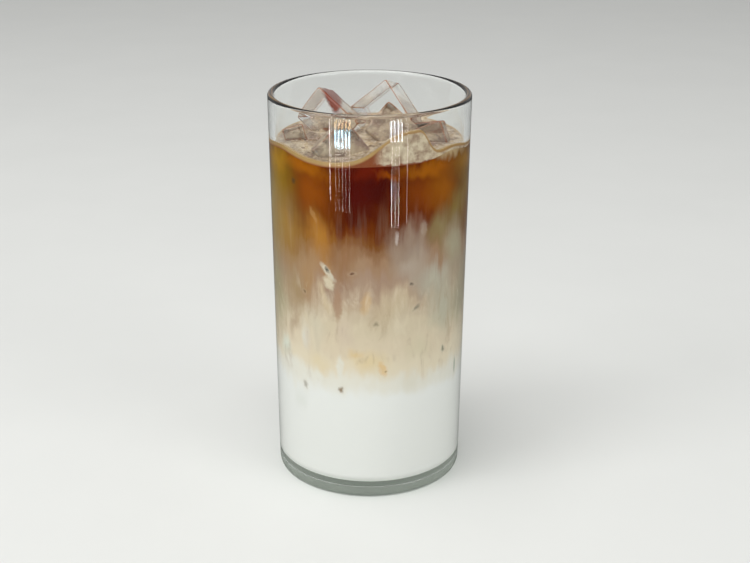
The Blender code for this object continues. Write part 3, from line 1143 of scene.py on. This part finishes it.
def drink_finish(name, lowest, highest):
    """The drink's colours between two heights."""
    finish = Finish(name)
    place = finish.place()
    x, y, z = parts_of(finish, place)
    rear = y.step(0.0, ROLL_RADIUS)
    in_front = y.step(4.0, -4.0)
    angle = finish.maths("ARCTAN2", x, finish.maths("ABSOLUTE", y)) + rear * REAR_TURN
    along = angle * ROLL_RADIUS
    drawn_out = finish.stretch(place, DRAWN_OUT)

    # Streaks and swirls
    threads = finish.noise(finish.stretch(place, THREAD_STRETCH), THREAD_SIZE, 3.0, 0.6) - 0.5
    broad_place = finish.stretch(place, BROAD_THREAD_STRETCH)
    broad_threads = finish.noise(broad_place, BROAD_THREAD_SIZE, 2.0, 0.5) - 0.5
    streaky = z.step(66.0, 84.0) * z.step(122.0, 108.0)
    upright = (threads * THREAD_LIFT + broad_threads * THREAD_LIFT) * streaky
    swirls = finish.push((0, 0, 0), place, SWIRL_SIZE, SWIRL_REACH, 2.0)
    curls = finish.push(swirls, drawn_out, CURL_SIZE, CURL_REACH, 4.0)
    sway_round, sway = parts_of(finish, curls)[:2]

    # The rolled-out wall, nudged and bent
    flat = finish.add("ShaderNodeCombineXYZ", {}, {0: along, 1: z})
    nudged = finish.push(flat, place, NUDGE_SIZE, NUDGE_REACH, 1.0)
    bent_height = z + sway + upright * PATCH_THREAD_SHARE + rear * REAR_LIFT
    bent = finish.add("ShaderNodeCombineXYZ", {}, {0: along + sway_round, 1: bent_height})

    # Layers and patches
    share = (z + sway + upright - BAND_LOW) * (1 / (BAND_HIGH - BAND_LOW))
    stops = [((height - BAND_LOW) / (BAND_HIGH - BAND_LOW), tone) for height, tone in LAYER_COLOURS.items()]
    colour = finish.add("ShaderNodeValToRGB", {"stops": stops}, {"Fac": share})
    colour = with_patches(finish, colour, bent, nudged, lowest, highest)

    # Marbling in the clouds, bright threads and specks
    marbling = finish.noise(drawn_out, 5.0, 5.0, 0.65, 0.8)
    cloudy = z.step(44.0, 54.0) * z.step(92.0, 76.0)
    colour = finish.mix(marbling.step(0.5, 0.72) * cloudy * 0.5, colour, rgb(226, 212, 188))
    colour = finish.mix(marbling.step(0.48, 0.3) * cloudy * 0.35, colour, rgb(164, 136, 110))
    bright = finish.maths("MAXIMUM", threads, 0.0) * streaky
    colour = finish.mix(bright * 0.5, colour, rgb(196, 176, 150))
    colour = with_specks(finish, colour, nudged, in_front, z, lowest, highest)

    # Pockets round the ice, and the underside
    reach = finish.maths("SQRT", x * x + y * y)
    pocket_wall = inner_radius(LATTE_TOP) / MM - 1.0
    inside = reach.step(pocket_wall, pocket_wall - 1.0) * z.step(112.0, 116.0)
    # Painted light: the milk's underside gets a faint emission that stands in for light carried through the
    # milk.
    underside = z.step(FLOOR_THICKNESS / MM + 0.5, FLOOR_THICKNESS / MM - 0.1)
    finish.set(
        base_color=finish.mix(inside, colour, POCKET_COLOUR),
        roughness=0.4,
        specular_ior_level=0.0,
        emission_color=finish.mix(underside, (0.0, 0.0, 0.0, 1.0), PAINTED_MILK_GLOW),
        emission_strength=1.0,
    )
    return finish


drink_finishes = {
    "milk": drink_finish("milk", 0, 60),
    "latte": drink_finish("latte", 42, 118),
    "coffee": drink_finish("coffee", 100, 140),
}
for name, finish in drink_finishes.items():
    piece = bodies[name]
    paint(piece, finish)
    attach(piece, "root")
    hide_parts(name)
    print(name, "finish has", len(finish.nodes), "nodes")

# %% [markdown]
# Froth is a mass of tiny bubbles, so it looks pale, dull and a little uneven. On the glass its edge is a
# bright cream line. Under the heap, the froth behind the line is paler and blotched with brown. The upper
# face is a greyer tan, where coffee shows through, with a painted highlight in the middle of each small
# cell. An attribute stores how far each point lies under the cream edge, because that edge is a wavy line
# that would be long to write in nodes.

# %% Finish of the froth
FROTH_CELL = 1.3


def mark_under_edge(mesh):
    """Stores each point's depth under the froth's edge on the glass, in millimetres."""
    depths = []
    for vert in mesh.vertices:
        angle = math.atan2(vert.co.x, -vert.co.y)
        depths.append((calm_foam(angle, 1.0) + foam_lump(angle, 1.0) - vert.co.z) / MM)
    mark(mesh, "under_edge", depths)


def froth_tones(finish, place):
    """The tan upper face: grey where coffee shows through, a painted highlight in each small cell, and small
    dark flecks between the bubbles.
    """
    sockets = {"Vector": place, "Scale": 1 / FROTH_CELL}
    cells = finish.add("ShaderNodeTexVoronoi", {"feature": "F1"}, sockets, "Distance")
    cloudy = finish.noise(place, 6.0, 5.0, 0.65)
    colour = finish.mix(cloudy.step(0.35, 0.65), rgb(112, 91, 76), rgb(184, 166, 141))
    # Painted highlight: the middle of each small cell is lighter, as light catches the top of a bubble.
    colour = finish.mix(cells.step(0.42, 0.2) * 0.35, colour, rgb(206, 190, 166))
    stains = finish.noise(place, 9.0, 3.0, 0.5)
    colour = finish.mix(stains.step(0.58, 0.7) * 0.6, colour, rgb(126, 92, 84))
    flecks = finish.noise(place, 2.2, 2.0, 0.5)
    return finish.mix(flecks.step(0.64, 0.74) * 0.8, colour, rgb(92, 58, 40)), cells


froth_finish = Finish("foam")
froth_place = froth_finish.place()
froth_x, froth_y, froth_z = parts_of(froth_finish, froth_place)
froth_reach = froth_finish.maths("SQRT", froth_x * froth_x + froth_y * froth_y)
froth_wall = inner_radius(FOAM_TOP) / MM
at_wall = froth_reach.step(froth_wall - 1.4, froth_wall - 0.2)
under_edge = froth_finish.add("ShaderNodeAttribute", {"attribute_name": "under_edge"}, {}, "Fac")
froth_tan, froth_cells = froth_tones(froth_finish, froth_place)
froth_turn = froth_finish.maths("ARCTAN2", froth_x, froth_y * -1.0)
on_heap = froth_turn.step(0.02, 0.16)
blotches = froth_finish.noise(froth_place, 3.2, 4.0, 0.62)
heap_spots = froth_finish.noise(froth_place, 1.7, 3.0, 0.6)
heap_tone = froth_finish.mix(blotches.step(0.34, 0.68), rgb(194, 177, 150), rgb(140, 115, 92))
heap_tone = froth_finish.mix(heap_spots.step(0.56, 0.72) * 0.6, heap_tone, rgb(112, 80, 62))
heap_foot = froth_z + froth_finish.noise(froth_place, 4.0, 4.0, 0.6) * 6.0
heap = on_heap * heap_foot.step(134.9, 135.5)
behind_line = froth_finish.mix(heap, rgb(116, 52, 0), heap_tone)
line_depth = under_edge + on_heap * 0.55
line = line_depth.step(1.8, 1.2)
cream = froth_finish.mix(froth_finish.noise(froth_place, 4.0), rgb(146, 112, 62), rgb(168, 138, 88))
cream = froth_finish.mix(line_depth.step(0.7, 1.5) * 0.6, cream, rgb(140, 86, 28))
wall_colour = froth_finish.mix(line, behind_line, cream)
froth_finish.set(
    base_color=froth_finish.mix(at_wall, froth_tan, wall_colour),
    roughness=froth_cells.step(0.2, 0.9) * 0.3 + 0.3,
    specular_ior_level=0.35,
    normal=froth_finish.bump(froth_finish.noise(froth_place, 0.8, 2.0) - froth_cells * 0.5, 0.25 * MM, 0.6),
)
mark_under_edge(froth.data)
paint(froth, froth_finish)
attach(froth, "root")
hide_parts("foam")
print("froth", len(froth.data.polygons), "faces")

# %% [markdown]
# Wet ice is clear, with a thin wash of froth where it dips into the drink. Two shaders are mixed: one that
# refracts as ice does, and a bubbly tan one. The border between them follows the froth's level, which each
# block carries as an attribute, because froth has climbed higher on some blocks than on others. Coffee that
# clings to the melted edges tints them faintly.

# %% Finish of the ice
def mark_film(mesh, film):
    """Stores each point's depth under the froth that clings to its block, in millimetres."""
    mark(mesh, "film", [film - vert.co.z / MM for vert in mesh.vertices])


STAIN_CENTRE = (-14.0, 145.0)
STAIN_HALVES = (2.8, 7.0)
STAIN_LEAN = 32
ICE_TINT = (0.97, 0.97, 0.965, 1.0)
ice_finish = Finish("ice")
ice_spot = ice_finish.place()
under_film = ice_finish.add("ShaderNodeAttribute", {"attribute_name": "film"}, {}, "Fac")
ragged = ice_finish.noise(ice_spot, 3.0, 4.0, 0.65) * 9.0 - 4.5
wash = (under_film + ragged).step(-0.8, 1.6)
ice_tan, ice_cells = froth_tones(ice_finish, ice_spot)
edge = ice_finish.add("ShaderNodeAttribute", {"attribute_name": "edge"}, {}, "Fac")
ice_bump = ice_finish.bump(ice_finish.noise(ice_spot, 3.5, 3.0), 0.35 * MM, 0.5)
washed = ice_finish.second_surface(ice_tan, 0.35, Normal=ice_finish.bump(ice_cells * -1.0, 0.3 * MM, 0.6))
ice_finish.set(
    base_color=ice_finish.mix(edge.step(0.2, 0.9) * 0.7, (0.98, 0.98, 0.97, 1.0), rgb(206, 160, 126)),
    roughness=0.02,
    ior=1.31,
    transmission_weight=1.0,
    normal=ice_bump,
)

# Clear ice bends light at its edges, and lets part of it straight through its faces
straight_share = edge.step(0.7, 0.2) * 0.45
ice_surface = ice_finish.cover(straight_share, ice_finish.surface(), ice_finish.see_through(ICE_TINT))

# Coffee that clings to the edges, a stain on the left block, and the wash of froth
clinging = ice_finish.second_surface(rgb(150, 84, 40), 0.3)
ice_surface = ice_finish.cover(edge.step(0.45, 0.9) * 0.85, ice_surface, clinging)
ice_x, ice_y, ice_z = parts_of(ice_finish, ice_finish.push(ice_spot, ice_spot, 2.5, (3.0, 0.0, 3.0), 3.0))
ice_front = ice_finish.add("ShaderNodeCombineXYZ", {}, {0: ice_x, 1: ice_z})
stain = patch(ice_finish, ice_front, STAIN_CENTRE, STAIN_HALVES, STAIN_LEAN, 0.5) * ice_y.step(0.0, 2.0)
ice_surface = ice_finish.cover(stain * 0.95, ice_surface, ice_finish.second_surface(rgb(112, 40, 10), 0.25))
ice_surface = ice_finish.cover(wash * 0.8, ice_surface, washed)
let_lamps_through(ice_finish, ice_surface, (0.95, 0.94, 0.92, 1.0), keep=0.15)
for name, piece in ice_pieces.items():
    mark_film(piece.data, ICE_BLOCKS[name]["film"])
    paint(piece, ice_finish)
    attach(piece, "root")
    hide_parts(name)
print("ice on", len(ice_pieces), "blocks")

# %% [markdown]
# Larger bubbles stand on the froth. Hundreds of nearly equal things are what Geometry Nodes are for: points
# are scattered over the upper faces with a fixed seed, and each gets a small sphere of a random size, many
# small and few large. An attribute says where bubbles may stand, so that none hangs over a pocket or the
# wall.

# %% Bubbles on the froth
BUBBLE_SEED = 11
BUBBLES_PER_SQUARE_METRE = 700000.0
SMALLEST_BUBBLE = 0.16 * MM
LARGEST_BUBBLE = 0.75 * MM
SMALL_BUBBLE_BIAS = 3.0
BALL_SIDES = 8
BALL_RINGS = 5
FACES_PER_BALL = BALL_SIDES * BALL_RINGS
bubble_finish = Finish("bubble")
bubble_finish.set(
    base_color=(0.93, 0.88, 0.80, 1.0),
    roughness=0.04,
    ior=1.2,
    transmission_weight=1.0,
)
let_lamps_through(bubble_finish, bubble_finish.surface(), (0.95, 0.92, 0.88, 1.0))


def bubble_tree():
    inputs = {
        "Density": "NodeSocketFloat",
        "Smallest": "NodeSocketFloat",
        "Largest": "NodeSocketFloat",
        "Seed": "NodeSocketInt",
        "Finish": "NodeSocketMaterial",
    }
    tree, start, end = node_tree("bubbles", inputs)
    seed = start.outputs["Seed"]
    where = grow_node(tree, "GeometryNodeInputNamedAttribute", {"Name": "bubbly"}, data_type="FLOAT")
    density = grow_node(
        tree,
        "ShaderNodeMath",
        {0: where.outputs["Attribute"], 1: start.outputs["Density"]},
        operation="MULTIPLY",
    )
    points = grow_node(
        tree,
        "GeometryNodeDistributePointsOnFaces",
        {"Mesh": start.outputs["Geometry"], "Density": density.outputs[0], "Seed": seed},
        distribute_method="RANDOM",
    )
    chance = grow_node(tree, "FunctionNodeRandomValue", {"Seed": seed}, data_type="FLOAT")
    skewing = {0: chance.outputs[1], 1: SMALL_BUBBLE_BIAS}
    skewed = grow_node(tree, "ShaderNodeMath", skewing, operation="POWER")
    size = grow_node(
        tree,
        "ShaderNodeMapRange",
        {
            "Value": skewed.outputs[0],
            "To Min": start.outputs["Smallest"],
            "To Max": start.outputs["Largest"],
        },
    )
    ball_sizes = {"Segments": BALL_SIDES, "Rings": BALL_RINGS, "Radius": 1.0}
    ball = grow_node(tree, "GeometryNodeMeshUVSphere", ball_sizes)
    soft = grow_node(tree, "GeometryNodeSetShadeSmooth", {"Geometry": ball.outputs["Mesh"]})
    placed = grow_node(
        tree,
        "GeometryNodeInstanceOnPoints",
        {
            "Points": points.outputs["Points"],
            "Instance": soft.outputs["Geometry"],
            "Scale": size.outputs["Result"],
        },
    )
    finish_tree(tree, placed.outputs["Instances"], start.outputs["Finish"], end)
    return tree


def bubbly_share(place, normal):
    """Bubbles stand on upper faces, and crowd where slow noise says so."""
    if normal.z < 0.4:
        return 0.0
    from_wall = (inner_radius(place.z) - math.hypot(place.x, place.y)) / MM
    crowd = 0.25 + 1.1 * max(0.0, noise.noise(place / (7 * MM)) + 0.25)
    return crowd * min(1.0, max(0.0, from_wall - 0.6))


froth_bubbles = add_mesh("froth_bubbles", froth.data.copy())
bubbly = [bubbly_share(vert.co, vert.normal) for vert in froth_bubbles.data.vertices]
mark(froth_bubbles.data, "bubbly", bubbly)
bubble_values = {
    "Density": BUBBLES_PER_SQUARE_METRE,
    "Smallest": SMALLEST_BUBBLE,
    "Largest": LARGEST_BUBBLE,
    "Seed": BUBBLE_SEED,
    "Finish": bubble_finish.material,
}
grow_mesh(froth_bubbles, bubble_tree(), bubble_values)
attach(froth_bubbles, "root")
print("froth bubbles:", len(froth_bubbles.data.polygons) // FACES_PER_BALL)

# %% [markdown]
# The photograph shows two windows mirrored in the front of the glass, each broken into narrow upright
# strips. A mirror image belongs to the lamps, not to the finish, so narrow lamps stand low in front of the
# glass, out of the camera's view. Their light is held to a narrow beam that passes above the floor.

# %% Striped windows in front
STRIP_DISTANCE = 200 * MM
STRIP_AIM = (0.0, 0.0, 0.125)
STRIP_BEAM = math.radians(30)
LEFT_TURNS = [-20.5 - 3.6 * step for step in range(5)]
RIGHT_TURNS = [21.5 + 3.8 * step for step in range(4)]
THREAD_TURNS = [22.6 + 3.8 * step for step in range(3)]
# Each row of lamps: its turns in degrees, its lowest point, highest point and width in millimetres, the
# power of each lamp in watts, and its colour.
STRIPED_WINDOWS = {
    "left_core": (LEFT_TURNS, 88.5, 97, 5, 0.00036, (0.5, 0.82, 1.0)),
    "left_orange": (LEFT_TURNS, 97.5, 101, 5, 0.00006, (1.0, 0.72, 0.4)),
    "left_top": (LEFT_TURNS, 101.5, 106, 4, 0.00004, (1.0, 0.95, 0.95)),
    "left_threads": (LEFT_TURNS, 58, 88, 1.4, 0.00006, (1.0, 0.9, 0.86)),
    "left_streak": ([-41], 63, 104, 2.5, 0.0004, (1.0, 0.95, 0.92)),
    "right_window": (RIGHT_TURNS, 92, 104, 4.6, 0.00035, (0.85, 0.93, 1.0)),
    "right_soft_threads": (THREAD_TURNS, 71.5, 91.5, 1.6, 0.000045, (1.0, 0.9, 0.88)),
    "right_threads": (THREAD_TURNS, 50, 71, 1.6, 0.00014, (1.0, 0.92, 0.95)),
    "right_faint": ([39], 52, 100, 3, 0.00012, (1.0, 0.93, 0.9)),
}


def striped_window(name, turns, low, high, width, power, colour):
    """Narrow upright lamps side by side, each at its turn round from the front."""
    for number, turn in enumerate(turns):
        angle = math.radians(turn)
        place = (
            STRIP_DISTANCE * math.sin(angle),
            -STRIP_DISTANCE * math.cos(angle),
            (low + high) / 2,
        )
        strip = soft_light(f"{name}_{number}", place, STRIP_AIM, width, high - low, power, colour)
        strip.data.spread = STRIP_BEAM
        strip.visible_camera = False


for name, (turns, low, high, width, power, colour) in STRIPED_WINDOWS.items():
    striped_window(name, turns, low * MM, high * MM, width * MM, power, colour)
print("striped windows:", ", ".join(STRIPED_WINDOWS))

# %% Keep the sizes and finish
dressed_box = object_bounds()
sizes = {
    "packed": [list(corner) for corner in packed_box],
    "dressed": [list(corner) for corner in dressed_box],
}
print("packed box", sizes["packed"])
print("dressed box", sizes["dressed"])
